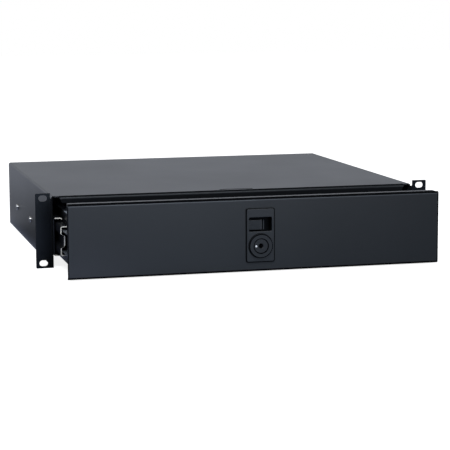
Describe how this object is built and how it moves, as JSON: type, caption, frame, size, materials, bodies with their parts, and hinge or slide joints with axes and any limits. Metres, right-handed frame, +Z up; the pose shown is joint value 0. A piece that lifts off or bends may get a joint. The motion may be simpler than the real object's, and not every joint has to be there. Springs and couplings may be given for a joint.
{
  "type": "sliding rack drawer",
  "caption": "Lockable drawer for an equipment rack, two rack units high, on full extension ball bearing slides inside a folded steel chassis.",
  "frame": {"origin": "centre of the rack slot pattern, on the rear face of the mounting ears", "axes": "+X to the right seen from the front, -Y out of the front of the rack, +Z up"},
  "size_m": [0.4826, 0.4954, 0.0882],
  "materials": {
    "powder_coat": "satin black fine-texture powder coat",
    "zinc_steel": "bright zinc-plated steel",
    "bearing_steel": "polished bearing steel",
    "lock_chrome": "polished chrome plate",
    "black_plastic": "fine-texture moulded plastic",
    "pale_nylon": "natural nylon",
    "stop_rubber": "matt"
  },
  "bodies": {
    "chassis": {"chassis_shell": "powder_coat", "chassis_rear_wall": "powder_coat", "chassis_slide_screws": "zinc_steel", "left_slide_fixed_member": "zinc_steel", "left_slide_bumper": "stop_rubber", "right_slide_fixed_member": "zinc_steel", "right_slide_bumper": "stop_rubber"},
    "drawer": {"drawer_tray": "powder_coat", "tray_front_wall": "powder_coat", "tray_rear_wall": "powder_coat", "front_panel": "powder_coat", "panel_studs": "zinc_steel", "panel_nuts": "zinc_steel", "tray_slide_screws": "zinc_steel", "lock_plate": "black_plastic", "lock_body": "lock_chrome", "lock_nut": "zinc_steel", "bolt_guide": "pale_nylon", "latch_cover": "zinc_steel", "cover_screws": "zinc_steel", "left_slide_drawer_member": "zinc_steel", "right_slide_drawer_member": "zinc_steel"},
    "lock_plug": {"lock_cylinder": "lock_chrome", "lock_cam": "zinc_steel", "cam_screw": "zinc_steel"},
    "thumb_slide": {"latch_button": "black_plastic", "latch_slider": "zinc_steel", "slider_screw": "zinc_steel"},
    "bolt": {"latch_bolt": "zinc_steel", "follower_pin": "zinc_steel"},
    "left_middle": {"left_slide_middle_member": "zinc_steel"},
    "left_outer_cage": {"left_outer_ball_cage": "zinc_steel", "left_outer_balls": "bearing_steel"},
    "left_inner_cage": {"left_inner_ball_cage": "pale_nylon", "left_inner_balls": "bearing_steel"},
    "right_middle": {"right_slide_middle_member": "zinc_steel"},
    "right_outer_cage": {"right_outer_ball_cage": "zinc_steel", "right_outer_balls": "bearing_steel"},
    "right_inner_cage": {"right_inner_ball_cage": "pale_nylon", "right_inner_balls": "bearing_steel"}
  },
  "joints": [
    {"name": "drawer_slide", "type": "slide", "parent": "chassis", "child": "drawer", "axis": [0, -1, 0], "range_m": [-0.08, 0.26]},
    {"name": "left_middle_slide", "type": "slide", "parent": "chassis", "child": "left_middle", "axis": [0, -1, 0], "range_m": [-0.04, 0.13]},
    {"name": "left_outer_cage_slide", "type": "slide", "parent": "chassis", "child": "left_outer_cage", "axis": [0, -1, 0], "range_m": [-0.02, 0.065]},
    {"name": "left_inner_cage_slide", "type": "slide", "parent": "chassis", "child": "left_inner_cage", "axis": [0, -1, 0], "range_m": [-0.06, 0.195]},
    {"name": "right_middle_slide", "type": "slide", "parent": "chassis", "child": "right_middle", "axis": [0, -1, 0], "range_m": [-0.04, 0.13]},
    {"name": "right_outer_cage_slide", "type": "slide", "parent": "chassis", "child": "right_outer_cage", "axis": [0, -1, 0], "range_m": [-0.02, 0.065]},
    {"name": "right_inner_cage_slide", "type": "slide", "parent": "chassis", "child": "right_inner_cage", "axis": [0, -1, 0], "range_m": [-0.06, 0.195]},
    {"name": "lock_turn", "type": "hinge", "parent": "drawer", "child": "lock_plug", "pos_m": [0.0023, -0.0979, -0.01285], "axis": [0, 1, 0], "range_deg": [0, 90]},
    {"name": "thumb_slide", "type": "slide", "parent": "drawer", "child": "thumb_slide", "axis": [1, 0, 0], "range_m": [0, 0.008]},
    {"name": "bolt_lift", "type": "slide", "parent": "drawer", "child": "bolt", "axis": [0, 0, 1], "range_m": [0, 0.008]}
  ],
  "couplings": [
    {"joint": "left_middle_slide", "follows": "drawer_slide", "ratio": 0.5},
    {"joint": "left_outer_cage_slide", "follows": "drawer_slide", "ratio": 0.25},
    {"joint": "left_inner_cage_slide", "follows": "drawer_slide", "ratio": 0.75},
    {"joint": "right_middle_slide", "follows": "drawer_slide", "ratio": 0.5},
    {"joint": "right_outer_cage_slide", "follows": "drawer_slide", "ratio": 0.25},
    {"joint": "right_inner_cage_slide", "follows": "drawer_slide", "ratio": 0.75},
    {"joint": "bolt_lift", "follows": "thumb_slide", "ratio": 1}
  ]
}
